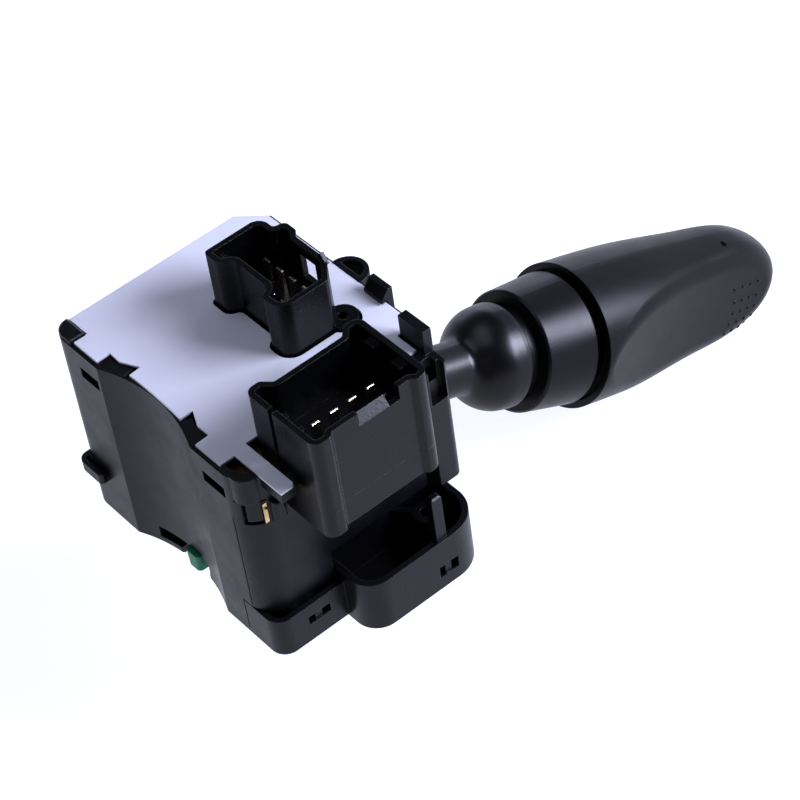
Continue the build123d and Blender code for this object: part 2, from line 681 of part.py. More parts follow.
# Turn carrier: two plates and two cheeks on trunnions, with the peg arm and the plunger's barrel
with BuildPart() as turn_carrier:
    for height in (carrier_low, carrier_high - carrier_plate):
        with BuildSketch(Plane.XY.offset(height)):
            RectangleRounded(2 * carrier_half, 2 * cheek_outer, 3)
        extrude(amount=carrier_plate)
    for side in (-1, 1):
        with BuildSketch(Plane.XY.offset(carrier_low)):
            with Locations((0, side * (cheek_inner + cheek_outer) / 2)):
                Rectangle(2 * cheek_half, cheek_outer - cheek_inner)
        extrude(amount=carrier_high - carrier_low)
    with BuildSketch(Plane.XY.offset(carrier_high)):
        Circle(shoulder_radius)
    extrude(amount=deck_under - seam - carrier_high)
    with BuildSketch(Plane.XY.offset(carrier_high)):
        Circle(trunnion_radius)
    extrude(amount=deck_top - 0.2 - carrier_high)
    with BuildSketch(Plane.XY.offset(floor + 0.6)):
        Circle(trunnion_radius)
    extrude(amount=carrier_low - floor - 0.6)
    # arm and peg that push the turn slider
    with BuildSketch(Plane.XY.offset(carrier_high - carrier_plate)):
        with Locations((-peg_reach / 2, 0)):
            SlotOverall(peg_reach + 7, 7)
    extrude(amount=carrier_plate)
    with BuildSketch(Plane.XY.offset(carrier_high)):
        with Locations((-peg_reach, 0)):
            Circle(peg_radius)
    extrude(amount=slider_top - carrier_high - 0.1)
    # barrel of the detent plunger
    with BuildSketch(Plane.XZ.offset(-cheek_outer + 0.5)):
        with Locations((0, plunger_height)):
            Circle(barrel_radius)
    extrude(amount=-(barrel_end - cheek_outer + 0.5))
    with BuildSketch(Plane.XZ.offset(-barrel_end)):
        with Locations((0, plunger_height)):
            Circle(plunger_radius + running)
    extrude(amount=barrel_end - barrel_bottom, mode=Mode.SUBTRACT)
    # bores of the beam pivot pins
    with BuildSketch(Plane.XZ.offset(-cheek_outer - 1)):
        with Locations((0, pivot_height)):
            Circle(pin_radius + 0.02)
    extrude(amount=2 * cheek_outer + 2, mode=Mode.SUBTRACT)
save(turn_carrier, "turn_carrier")

with BuildPart() as beam_pivot_pins:
    for start in (pin_inner, -cheek_outer):
        with BuildSketch(Plane.XZ.offset(-start)):
            with Locations((0, pivot_height)):
                Circle(pin_radius)
        extrude(amount=-(cheek_outer - pin_inner))
save(beam_pivot_pins, "beam_pivot_pins")

# Turn detent: cam track, plunger and its spring
with BuildPart() as detent_track:
    with BuildSketch(Plane.XY.offset(floor)):
        with Locations((0, 23.3)):
            Rectangle(22, 6.4)
        Circle(track_radius, mode=Mode.SUBTRACT)
        with PolarLocations(track_radius + valley_depth - valley_radius, 3, 90 - turn_limit, 2 * turn_limit,
                            endpoint=True):
            Circle(valley_radius, mode=Mode.SUBTRACT)
    extrude(amount=track_top - floor)
save(detent_track, "detent_track")

with BuildPart() as turn_plunger:
    with BuildSketch(Plane.XZ.offset(-plunger_start)):
        with Locations((0, plunger_height)):
            Circle(plunger_radius)
    extrude(amount=-(track_radius - seam - plunger_start))
    fillet(turn_plunger.edges().group_by(Axis.Y)[-1], plunger_radius - 0.2)
save(turn_plunger, "turn_plunger")

spring_start = barrel_bottom + 0.35
spring_length = plunger_start - plunger_travel - spring_start - 0.4
turn_detent_spring = coil((0, spring_start, plunger_height), (0, 1, 0), 1.75, 0.28, spring_length, 3)
save(turn_detent_spring, "turn_detent_spring")

# Cancel pawl on its post, with a torsion spring
with BuildPart() as cancel_pawl:
    with BuildSketch(Plane.XY.offset(floor + 0.4)) as pawl:
        with BuildLine():
            Polyline(
                (pawl_pivot_x, 3.4), (-25.4, 2.0), (pawl_tip_x, 1.4), (pawl_tip_x, -3.2), (-25.4, -4.0),
                (pawl_pivot_x, -3.4), (pawl_pivot_x, 3.4),
            )
        make_face()
        with Locations((pawl_pivot_x, 0)):
            Circle(3.8)
        fillet(pawl.vertices().group_by(Axis.X)[0], 1.2)
        with Locations((pawl_pivot_x, 0)):
            Circle(pawl_post + running, mode=Mode.SUBTRACT)
    extrude(amount=pawl_thick)
    with BuildSketch(Plane.XY.offset(0.4)) as nose:
        with Locations(((pawl_tip_x - 25.4) / 2, -0.9)):
            Rectangle(-25.4 - pawl_tip_x, 4.6)
        fillet(nose.vertices().group_by(Axis.X)[0], 1.2)
    extrude(amount=floor + 0.4)
save(cancel_pawl, "cancel_pawl")

pawl_spring = coil((pawl_pivot_x, 0, 5.9), (0, 0, 1), 2.1, 0.28, 1.6, 2)
save(pawl_spring, "pawl_spring")

# Beam contacts: board on legs with rails, tracks, slider and wiper
with BuildPart() as beam_contact_board:
    block(beam_left, beam_right, 0, 13, 9.5, deck_under - 0.4)
    block(beam_left, beam_right, 10, 13, floor, 10)
    block(beam_right - 0.2, -14.0, beam_half + 0.2, 9.8, 15, 37)
    block(-15.0, -14.0, beam_half - 0.9, 9.8, 15, 37)
    mirror(about=Plane.XZ)
save(beam_contact_board, "beam_contact_board")

with BuildPart() as beam_tracks:
    for middle in (pivot_height - 6.0, pivot_height, pivot_height + 6.0):
        block(beam_right, beam_right + track_thick, -6, 6, middle - 2.2, middle + 2.2)
save(beam_tracks, "beam_tracks")

with BuildPart() as beam_slider:
    block(beam_back, -15.2, -beam_half, beam_half, pivot_height - 7, pivot_height + 7)
    chamfer(beam_slider.edges().filter_by(Axis.X), 0.8)
    groove = ball_radius + running
    block(-ball_reach - 2.3, -14, -10, 10, pivot_height - groove, pivot_height + groove, Mode.SUBTRACT)
save(beam_slider, "beam_slider")

with BuildPart() as beam_wiper:
    for y in (-4.5, 3.0):
        strip_plane = Plane(origin=(beam_back, y + 1.5, pivot_height), x_dir=(0, 0, 1), z_dir=(0, -1, 0))
        crest = beam_back - beam_right - track_thick - running
        extrude(bridge_contact(strip_plane, 5.5, crest), amount=1.5)
save(beam_wiper, "beam_wiper")

# Stalk lever: hub between the carrier's cheeks, hollow neck and bell, tail with a ball
with BuildPart() as stalk_lever:
    with BuildSketch(Plane.XZ.offset(-hub_half)):
        with Locations((0, pivot_height)):
            Circle(hub_radius)
    extrude(amount=2 * hub_half)
    with BuildSketch(stalk_side):
        with BuildLine():
            Polyline((bell_end, 0), (0, 0), (0, neck_radius), (neck_end, neck_radius))
            Spline(
                (neck_end, neck_radius), (neck_end + 2.6, neck_radius + 1.5),
                (neck_end + 5.2, neck_radius + 4.2), (neck_end + 8.6, neck_radius + 6.0),
                (bell_end - 1.6, bell_radius), tangents=((1, 0), (1, 0.1)),
            )
            Polyline(
                (bell_end - 1.6, bell_radius), (bell_end - 0.4, bell_radius), (bell_end, bell_radius - 0.4),
                (bell_end, 0),
            )
        make_face()
    revolve(axis=stalk_axis)
    # bore of the leads, widened for the spindle, and the side hole where the leads leave
    with BuildSketch(stalk_station(12)):
        Circle(neck_bore)
    extrude(amount=spindle_start - 12, mode=Mode.SUBTRACT)
    with BuildSketch(stalk_station(spindle_start)):
        Circle(spindle_radius + 0.1)
    extrude(amount=bell_end - spindle_start, mode=Mode.SUBTRACT)
    with Locations(pivot + stalk_dir * 15):
        Cylinder(2.8, 12, align=(Align.CENTER, Align.CENTER, Align.MIN), mode=Mode.SUBTRACT)
    # seats of the pivot pins
    for start, way in ((hub_half, 1), (-hub_half, -1)):
        with BuildSketch(Plane.XZ.offset(-start)):
            with Locations((0, pivot_height)):
                Circle(pin_radius + 0.06)
        extrude(amount=way * (hub_half - pin_inner + seam), mode=Mode.SUBTRACT)
    # tail and ball that move the beam slider
    with BuildSketch(Plane.YZ.offset(-ball_reach)):
        with Locations((0, pivot_height)):
            Circle(1.5)
    extrude(amount=ball_reach - hub_radius + 1)
    with Locations((-ball_reach, 0, pivot_height)):
        Sphere(ball_radius)
save(stalk_lever, "stalk_lever")

# Leads in the hollow of the stalk
with BuildPart() as stalk_leads:
    with BuildSketch(stalk_station(14)):
        with PolarLocations(1.9, 4, 45):
            Circle(0.7)
    extrude(amount=core_end - 2 - 14)
save(stalk_leads, "stalk_leads")

# Spindle with a flange that carries the collar
with BuildPart() as stalk_spindle:
    with BuildSketch(stalk_side):
        with BuildLine():
            Polyline(
                (spindle_start + 0.2, spindle_bore), (spindle_start + 0.2, spindle_radius),
                (bell_end, spindle_radius), (bell_end, core_radius), (core_end, core_radius),
                (core_end, spindle_radius), (clip_start - 0.1, spindle_radius), (clip_start - 0.1, clip_seat),
                (clip_start + clip_thick + 0.1, clip_seat), (clip_start + clip_thick + 0.1, spindle_radius),
                (spindle_end, spindle_radius), (spindle_end, spindle_bore),
                (spindle_start + 0.2, spindle_bore),
            )
        make_face()
    revolve(axis=stalk_axis)
    # clicks of the light knob
    with BuildSketch(stalk_station(click_station - 2)):
        with PolarLocations(spindle_radius + 0.4, 3, 0, knob_turn, endpoint=True):
            Circle(0.9)
    extrude(amount=4, mode=Mode.SUBTRACT)
save(stalk_spindle, "stalk_spindle")

with BuildPart() as stalk_collar:
    with BuildSketch(stalk_side):
        with BuildLine():
            Polyline(
                (collar_start, core_radius + 0.1), (collar_start, collar_radius_start - 0.5),
                (collar_start + 0.5, collar_radius_start), (collar_end - 0.4, collar_radius_end),
                (collar_end, collar_radius_end - 0.4), (collar_end, collar_radius_end - shell_wall),
                (collar_start + 2, collar_radius_start - shell_wall), (collar_start + 2, core_radius + 0.1),
                (collar_start, core_radius + 0.1),
            )
        make_face()
    revolve(axis=stalk_axis)
save(stalk_collar, "stalk_collar")

# Contact board of the light switch and its ring tracks
with BuildPart() as light_contact_board:
    with BuildSketch(stalk_station(core_end)):
        Circle(13.5)
        Circle(spindle_radius + 0.6, mode=Mode.SUBTRACT)
    extrude(amount=1.6)
save(light_contact_board, "light_contact_board")

with BuildPart() as light_tracks:
    with BuildSketch(stalk_station(core_end + 1.6)):
        for outer, inner in ((10.9, 9.1), (8.4, 7.0)):
            Circle(outer)
            Circle(inner, mode=Mode.SUBTRACT)
    extrude(amount=track_thick)
save(light_tracks, "light_tracks")

# Clip that keeps the light knob on the spindle
with BuildPart() as knob_retaining_clip:
    with BuildSketch(stalk_station(clip_start)):
        Circle(7.5)
        Circle(clip_seat + 0.05, mode=Mode.SUBTRACT)
        with Locations((-6, 0)):
            Rectangle(6, 7, mode=Mode.SUBTRACT)
    extrude(amount=clip_thick)
save(knob_retaining_clip, "knob_retaining_clip")


def knob_form(inset):
    """Turned knob, scooped on both sides towards the tip and cut back by an inset all round."""
    with BuildPart() as form:
        with BuildSketch(knob_side):
            with BuildLine():
                Polyline((knob_length - inset, 0), (0, 0), (0, knob_radius - inset))
                Spline(
                    (0, knob_radius - inset), (knob_length - 49.8, knob_radius - 0.5 - inset),
                    (knob_length - 29.8, knob_radius - 2.1 - inset), (knob_length - 14.8, knob_radius - 3.9 - inset),
                    (knob_length - 4.8 - inset * 0.7, knob_radius - 8.8 - inset * 0.7), (knob_length - inset, 0),
                    tangents=((1, 0), (0, -1)),
                )
            make_face()
        revolve(axis=Axis(knob_foot, knob_dir))
        with BuildSketch(knob_above):
            for side in (-1, 1):
                with BuildLine():
                    foot = (-2, side * (scoop_foot - inset))
                    tip = (knob_length + 4.2, side * (scoop_tip - inset))
                    ThreePointArc(foot, (scoop_station, side * (scoop_waist - inset)), tip)
                    Polyline(tip, (knob_length + 4.2, side * 24), (-2, side * 24), foot)
                make_face()
        extrude(amount=30, both=True, mode=Mode.SUBTRACT)
        sides = [edge for edge in form.edges() if abs(edge.center().Y) > 3 and edge.length > 20]
        ridges = [edge for edge in sides if (edge.center() - knob_foot).dot(knob_dir) > 1]
        fillet(ridges, ridge_round - inset)
    return form


# Light knob: hollow shell, core on the spindle, wiper, click ball and spring
with BuildPart() as knob_shell:
    add(knob_form(0).part)
    add(knob_form(shell_wall).part, mode=Mode.SUBTRACT)
save(knob_shell, "knob_shell")

core_step = knob_start + 1.2
with BuildPart() as knob_core:
    with BuildSketch(stalk_side):
        with BuildLine():
            Polyline(
                (core_step, spindle_radius + running), (core_step, 14.4), (collar_end + seam, 14.4),
                (collar_end + seam, 15.4), (core_step, 15.4), (core_step, 16.4), (core_step + 2.4, 16.4),
                (core_step + 2.4, 8.0), (clip_start - 0.2, 8.0),
                (clip_start - 0.2, spindle_radius + running), (core_step, spindle_radius + running),
            )
        make_face()
    revolve(axis=stalk_axis)
    # boss of the click ball
    with BuildSketch(stalk_side.offset(-ball_boss)):
        with Locations((click_station, 0)):
            Circle(2.4)
    extrude(amount=ball_boss - 6)
    with BuildSketch(stalk_side.offset(-ball_boss + 0.8)):
        with Locations((click_station, 0)):
            Circle(click_ball + running)
    extrude(amount=ball_boss - 0.8 - 5, mode=Mode.SUBTRACT)
save(knob_core, "knob_core")

click_height = spindle_radius + running + click_ball
with BuildPart() as knob_detent_ball:
    with Locations(pivot + stalk_dir * click_station + Vector(0, click_height, 0)):
        Sphere(click_ball)
save(knob_detent_ball, "knob_detent_ball")

click_spring_foot = click_height + click_ball + 0.3
click_spring_length = ball_boss - 0.8 - click_spring_foot - 0.25
spring_point = pivot + stalk_dir * click_station + Vector(0, click_spring_foot, 0)
knob_detent_spring = coil(spring_point, (0, 1, 0), 0.8, 0.18, click_spring_length, 3)
save(knob_detent_spring, "knob_detent_spring")

with BuildPart() as light_wiper:
    with BuildSketch(stalk_station(core_step - 0.4)):
        Circle(12.4)
        Circle(7.2, mode=Mode.SUBTRACT)
    extrude(amount=0.4)
    finger_tip = core_end + 1.6 + track_thick + running
    with BuildSketch(stalk_side):
        for side in (-1, 1):
            with BuildLine():
                Polyline(
                    (core_step - 0.3, side * 12.2), (finger_tip, side * 10.2), (finger_tip, side * 9.5),
                    (core_step - 0.3, side * 11.4), (core_step - 0.3, side * 12.2),
                )
            make_face()
    extrude(amount=1.2, both=True)
save(light_wiper, "light_wiper")
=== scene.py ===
import json
import math

import bpy
import numpy as np
from mathutils import Matrix, Vector
from mathutils.bvhtree import BVHTree


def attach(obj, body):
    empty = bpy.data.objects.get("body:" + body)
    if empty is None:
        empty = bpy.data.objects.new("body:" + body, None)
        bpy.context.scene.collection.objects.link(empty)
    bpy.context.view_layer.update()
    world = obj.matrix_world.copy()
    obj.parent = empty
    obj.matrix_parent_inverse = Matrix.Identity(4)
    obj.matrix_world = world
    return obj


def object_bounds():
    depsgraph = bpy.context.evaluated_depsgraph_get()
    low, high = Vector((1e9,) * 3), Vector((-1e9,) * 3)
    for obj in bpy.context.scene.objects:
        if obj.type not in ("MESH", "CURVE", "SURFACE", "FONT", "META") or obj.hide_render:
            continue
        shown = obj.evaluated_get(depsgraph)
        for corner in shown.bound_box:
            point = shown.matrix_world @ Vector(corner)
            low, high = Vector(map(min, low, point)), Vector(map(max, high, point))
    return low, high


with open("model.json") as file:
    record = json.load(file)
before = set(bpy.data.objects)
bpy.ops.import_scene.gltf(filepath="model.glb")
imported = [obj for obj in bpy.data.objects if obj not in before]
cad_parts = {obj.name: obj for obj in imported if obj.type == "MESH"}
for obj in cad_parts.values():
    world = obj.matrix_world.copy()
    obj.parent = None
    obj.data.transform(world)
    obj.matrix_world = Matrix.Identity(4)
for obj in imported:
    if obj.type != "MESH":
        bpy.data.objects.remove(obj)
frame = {"nodes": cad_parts, "record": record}
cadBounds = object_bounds()
print("frame loaded:", len(frame["nodes"]), "nodes")


def toLinear(code):
    # sRGB hex to the linear colour that Blender mixes in
    parts = [int(code[i:i + 2], 16) / 255 for i in (1, 3, 5)]
    return tuple(p / 12.92 if p <= 0.04045 else ((p + 0.055) / 1.055) ** 2.4 for p in parts) + (1.0,)


def addNode(tree, kind, settings=None, inputs=None):
    # adds one node, sets its properties, then fills or links its inputs
    node = tree.nodes.new(kind)
    for key, value in (settings or {}).items():
        setattr(node, key, value)
    for key, value in (inputs or {}).items():
        if isinstance(value, bpy.types.NodeSocket):
            tree.links.new(value, node.inputs[key])
        else:
            node.inputs[key].default_value = value
    return node


def newMaterial(name):
    material = bpy.data.materials.new(name)
    material.use_nodes = True
    material.node_tree.nodes.clear()
    return material, material.node_tree


def closeMaterial(tree, shader):
    addNode(tree, "ShaderNodeOutputMaterial", None, {"Surface": shader.outputs["BSDF"]})


def perMetre(sizeMm):
    # noise scale whose features are about sizeMm wide
    return 1000.0 / sizeMm


# cosine between the rounded and the flat normal where rubbing starts and where it is full
edgeStart, edgeFull = 0.995, 0.93
rubMm, smearMm = 5.0, 11.0      # size of the patches that hands have rubbed or smeared


def mouldedPlastic(name, look):
    # Injection-moulded plastic: two close shades in slow clouds, a spark-eroded grain as
    # bump, soft moulded edges, and edges rubbed a little paler and smoother by handling.
    material, tree = newMaterial(name)
    coords = addNode(tree, "ShaderNodeTexCoord").outputs["Object"]
    clouds = addNode(tree, "ShaderNodeTexNoise", None, {
        "Vector": coords, "Scale": perMetre(look["cloudMm"]), "Detail": 4.0, "Roughness": 0.6})
    shade = addNode(tree, "ShaderNodeMix", {"data_type": "RGBA"}, {
        0: clouds.outputs[0], 6: toLinear(look["shade"]), 7: toLinear(look["light"])})
    grain = addNode(tree, "ShaderNodeTexNoise", None, {
        "Vector": coords, "Scale": perMetre(look["grainMm"]), "Detail": 3.0, "Roughness": 0.65})
    soft = addNode(tree, "ShaderNodeBevel", {"samples": 4}, {"Radius": look["edgeMm"] / 1000})
    flat = addNode(tree, "ShaderNodeNewGeometry")
    cosine = addNode(tree, "ShaderNodeVectorMath", {"operation": "DOT_PRODUCT"}, {
        0: soft.outputs[0], 1: flat.outputs["Normal"]})
    edge = addNode(tree, "ShaderNodeMapRange", {"clamp": True}, {
        "Value": cosine.outputs["Value"], "From Min": edgeStart, "From Max": edgeFull,
        "To Min": 0.0, "To Max": 1.0})
    rubs = addNode(tree, "ShaderNodeTexNoise", None, {
        "Vector": coords, "Scale": perMetre(rubMm), "Detail": 5.0, "Roughness": 0.7})
    patchy = addNode(tree, "ShaderNodeMapRange", {"clamp": True}, {
        "Value": rubs.outputs[0], "From Min": 0.35, "From Max": 0.7, "To Min": 0.0,
        "To Max": look["edgeWear"]})
    worn = addNode(tree, "ShaderNodeMath", {"operation": "MULTIPLY"}, {
        0: edge.outputs[0], 1: patchy.outputs[0]})
    colour = addNode(tree, "ShaderNodeMix", {"data_type": "RGBA"}, {
        0: worn.outputs[0], 6: shade.outputs[2], 7: toLinear(look["worn"])})
    smears = addNode(tree, "ShaderNodeTexNoise", None, {
        "Vector": coords, "Scale": perMetre(smearMm), "Detail": 6.0, "Roughness": 0.75})
    rough = addNode(tree, "ShaderNodeMapRange", {"clamp": True}, {
        "Value": smears.outputs[0], "From Min": 0.3, "From Max": 0.7,
        "To Min": look["rough"] - look["smear"], "To Max": look["rough"] + look["smear"]})
    bump = addNode(tree, "ShaderNodeBump", None, {
        "Height": grain.outputs[0], "Distance": look["grainDepthMm"] / 1000, "Strength": 1.0,
        "Normal": soft.outputs[0]})
    shader = addNode(tree, "ShaderNodeBsdfPrincipled", None, {
        "Base Color": colour.outputs[2], "Roughness": rough.outputs[0], "Normal": bump.outputs[0],
        "IOR": look["ior"]})
    if look.get("coat"):
        shader.inputs["Coat Weight"].default_value = look["coat"]
        shader.inputs["Coat Roughness"].default_value = look["coatRough"]
    shader.inputs["Specular IOR Level"].default_value = look.get("specular", 0.5)
    closeMaterial(tree, shader)
    return material


metalEdgeMm = 0.1               # stamped edges are barely broken


def workedMetal(name, look):
    # Stamped, drawn or plated metal: fine lines along one direction from the rolling or
    # drawing, darker stains in slow patches, and a roughness that follows both.
    material, tree = newMaterial(name)
    coords = addNode(tree, "ShaderNodeTexCoord").outputs["Object"]
    stretched = addNode(tree, "ShaderNodeMapping", None, {
        "Vector": coords, "Scale": look["lineStretch"]})
    lines = addNode(tree, "ShaderNodeTexNoise", None, {
        "Vector": stretched.outputs[0], "Scale": perMetre(look["lineMm"]), "Detail": 3.0, "Roughness": 0.6})
    stains = addNode(tree, "ShaderNodeTexNoise", None, {
        "Vector": coords, "Scale": perMetre(look["stainMm"]), "Detail": 5.0, "Roughness": 0.7})
    mask = addNode(tree, "ShaderNodeMapRange", {"clamp": True}, {
        "Value": stains.outputs[0], "From Min": 0.45, "From Max": 0.75, "To Min": 0.0, "To Max": 1.0})
    colour = addNode(tree, "ShaderNodeMix", {"data_type": "RGBA"}, {
        0: mask.outputs[0], 6: toLinear(look["bright"]), 7: toLinear(look["stain"])})
    rough = addNode(tree, "ShaderNodeMapRange", {"clamp": True}, {
        "Value": lines.outputs[0], "From Min": 0.3, "From Max": 0.7,
        "To Min": look["rough"] - 0.08, "To Max": look["rough"] + 0.12})
    soft = addNode(tree, "ShaderNodeBevel", {"samples": 4}, {"Radius": metalEdgeMm / 1000})
    bump = addNode(tree, "ShaderNodeBump", None, {
        "Height": lines.outputs[0], "Distance": look["lineDepthMm"] / 1000, "Strength": 1.0,
        "Normal": soft.outputs[0]})
    shader = addNode(tree, "ShaderNodeBsdfPrincipled", None, {
        "Base Color": colour.outputs[2], "Roughness": rough.outputs[0], "Normal": bump.outputs[0],
        "Metallic": 1.0})
    closeMaterial(tree, shader)
    return material


# glass-filled nylon, spark-eroded mould: near black, faintly blue, a fine sparkle on lit faces
caseLook = {"shade": "#07080d", "light": "#0c0d14", "worn": "#3a3d45", "cloudMm": 18.0, "grainMm": 0.5,
            "grainDepthMm": 0.05, "edgeMm": 0.35, "edgeWear": 0.5, "rough": 0.34, "smear": 0.07, "ior": 1.45}
# polyester, plain mould: blacker and a little glossier than the case
plugLook = {"shade": "#050608", "light": "#090a0d", "worn": "#32353c", "cloudMm": 12.0, "grainMm": 0.7,
            "grainDepthMm": 0.02, "edgeMm": 0.3, "edgeWear": 0.45, "rough": 0.29, "smear": 0.06, "ior": 1.45}
# white polyester sheet: cool white with a soft sheen and faint grey smears
plateLook = {"shade": "#c7c9d1", "light": "#d1d3da", "worn": "#e6e8ef", "cloudMm": 25.0, "grainMm": 1.2,
             "grainDepthMm": 0.012, "edgeMm": 0.25, "edgeWear": 0.3, "rough": 0.34, "smear": 0.05, "ior": 1.5}
# acetal, polished mould: satin black, long clean highlights
stalkLook = {"shade": "#050508", "light": "#08080c", "worn": "#24262c", "cloudMm": 30.0, "grainMm": 0.8,
             "grainDepthMm": 0.012, "edgeMm": 0.3, "edgeWear": 0.3, "rough": 0.36, "smear": 0.05, "ior": 1.48}
# ABS, fine even grain: satin black, broad soft highlights
knobLook = {"shade": "#050609", "light": "#090a0e", "worn": "#2c2e34", "cloudMm": 40.0, "grainMm": 0.45,
            "grainDepthMm": 0.035, "edgeMm": 0.5, "edgeWear": 0.3, "rough": 0.34, "smear": 0.05, "ior": 1.42,
            "specular": 0.42}
# natural acetal: milky, slippery, slightly yellow
innerLook = {"shade": "#cfc9b8", "light": "#ddd8c9", "worn": "#eeeade", "cloudMm": 15.0, "grainMm": 0.8,
             "grainDepthMm": 0.015, "edgeMm": 0.2, "edgeWear": 0.3, "rough": 0.33, "smear": 0.05, "ior": 1.48}
# glass-filled grey nylon
carrierLook = {"shade": "#50545a", "light": "#62666d", "worn": "#8a8e95", "cloudMm": 15.0, "grainMm": 0.5,
               "grainDepthMm": 0.04, "edgeMm": 0.3, "edgeWear": 0.4, "rough": 0.5, "smear": 0.06, "ior": 1.53}
# green acetal
pawlLook = {"shade": "#0f6c48", "light": "#168058", "worn": "#45ad85", "cloudMm": 8.0, "grainMm": 0.7,
            "grainDepthMm": 0.015, "edgeMm": 0.3, "edgeWear": 0.4, "rough": 0.36, "smear": 0.05, "ior": 1.48}
# extruded vinyl sleeve
sleeveLook = {"shade": "#6d1713", "light": "#84211b", "worn": "#a0443d", "cloudMm": 6.0, "grainMm": 0.4,
              "grainDepthMm": 0.01, "edgeMm": 0.1, "edgeWear": 0.1, "rough": 0.42, "smear": 0.05, "ior": 1.52}

# painted shadow: near-black matt for the disc that stands in for the shade inside the knob's small blind
# hole; swallows the light
paintedHoleShadowLook = {"shade": "#010101", "light": "#020202", "worn": "#050506", "cloudMm": 2.0, "grainMm": 0.3,
            "grainDepthMm": 0.01, "edgeMm": 0.05, "edgeWear": 0.1, "rough": 0.85, "smear": 0.05, "ior": 1.2}

brassLook = {"bright": "#d6c096", "stain": "#a08458", "lineMm": 0.15, "lineStretch": (1.0, 1.0, 0.1),
             "lineDepthMm": 0.01, "stainMm": 3.0, "rough": 0.3}
tinLook = {"bright": "#cfc4b2", "stain": "#9a8f80", "lineMm": 0.15, "lineStretch": (1.0, 1.0, 0.1),
           "lineDepthMm": 0.01, "stainMm": 2.0, "rough": 0.28}
zincLook = {"bright": "#b4b7bd", "stain": "#8b8d90", "lineMm": 0.3, "lineStretch": (1.0, 1.0, 1.0),
            "lineDepthMm": 0.01, "stainMm": 2.5, "rough": 0.32}
wireLook = {"bright": "#a6a8ad", "stain": "#6f7072", "lineMm": 0.08, "lineStretch": (1.0, 1.0, 1.0),
            "lineDepthMm": 0.004, "stainMm": 1.5, "rough": 0.25}


turnOfWave = 2 * math.pi        # a wave texture counts its scale in radians


def pressedLaminate(name, look):
    # Phenolic board: brown resin with the paper's weave pressed into it, matt and even.
    material, tree = newMaterial(name)
    coords = addNode(tree, "ShaderNodeTexCoord").outputs["Object"]
    weave = addNode(tree, "ShaderNodeTexWave", {"wave_type": "BANDS", "bands_direction": "X"}, {
        "Vector": coords, "Scale": perMetre(look["threadMm"]) / turnOfWave, "Distortion": 2.0, "Detail": 2.0})
    cross = addNode(tree, "ShaderNodeTexWave", {"wave_type": "BANDS", "bands_direction": "Y"}, {
        "Vector": coords, "Scale": perMetre(look["threadMm"]) / turnOfWave, "Distortion": 2.0, "Detail": 2.0})
    both = addNode(tree, "ShaderNodeMath", {"operation": "MULTIPLY"}, {
        0: weave.outputs[1], 1: cross.outputs[1]})
    colour = addNode(tree, "ShaderNodeMix", {"data_type": "RGBA"}, {
        0: both.outputs[0], 6: toLinear(look["resin"]), 7: toLinear(look["thread"])})
    bump = addNode(tree, "ShaderNodeBump", None, {
        "Height": both.outputs[0], "Distance": look["depthMm"] / 1000, "Strength": 1.0})
    rough = addNode(tree, "ShaderNodeMapRange", None, {
        "Value": both.outputs[0], "To Min": look["rough"][0], "To Max": look["rough"][1]})
    shader = addNode(tree, "ShaderNodeBsdfPrincipled", None, {
        "Base Color": colour.outputs[2], "Roughness": rough.outputs[0], "Normal": bump.outputs[0],
        "IOR": look["ior"]})
    closeMaterial(tree, shader)
    return material


laminateLook = {"resin": "#6b4a22", "thread": "#8a6632", "threadMm": 0.6, "depthMm": 0.01,
                "rough": (0.45, 0.58), "ior": 1.58}

casePlastic = mouldedPlastic("nylonSparkEroded", caseLook)
plugPlastic = mouldedPlastic("polyesterMoulded", plugLook)
platePlastic = mouldedPlastic("whitePolyesterSheet", plateLook)
stalkPlastic = mouldedPlastic("acetalPolishedBlack", stalkLook)
knobPlastic = mouldedPlastic("absSatinBlack", knobLook)
innerPlastic = mouldedPlastic("acetalNatural", innerLook)
carrierPlastic = mouldedPlastic("nylonGlassFilledGrey", carrierLook)
pawlPlastic = mouldedPlastic("acetalGreen", pawlLook)
# painted shadow: the near-black matt of the dark disc that stands for the tip hole
holeShadowMaterial = mouldedPlastic("paintedHoleShadow", paintedHoleShadowLook)
vinylSleeve = mouldedPlastic("vinylExtrudedRed", sleeveLook)
stampedBrass = workedMetal("brassStamped", brassLook)
tinnedBrass = workedMetal("brassTinned", tinLook)
platedZinc = workedMetal("steelZincPlated", zincLook)
drawnWire = workedMetal("steelDrawnWire", wireLook)
phenolicBoard = pressedLaminate("phenolicPressed", laminateLook)

slotMaterials = {
    "case_plastic": casePlastic, "plug_plastic": plugPlastic, "plate_plastic": platePlastic,
    "stalk_plastic": stalkPlastic, "knob_plastic": knobPlastic, "inner_plastic": innerPlastic,
    "carrier_plastic": carrierPlastic, "pawl_plastic": pawlPlastic, "board_laminate": phenolicBoard,
    "contact_brass": stampedBrass, "blade_tin": tinnedBrass, "screw_steel": platedZinc,
    "spring_steel": drawnWire, "lead_sleeve": vinylSleeve,
}


def dressNodes():
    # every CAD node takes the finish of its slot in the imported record
    slotOf = {part["node"]: part["material_slot"] for part in frame["record"]["subparts"]}
    for name, node in frame["nodes"].items():
        material = slotMaterials[slotOf[name]]
        node.data.materials.clear()
        node.data.materials.append(material)
    return slotOf


slotOf = dressNodes()
print("materials set on", len(slotOf), "nodes")

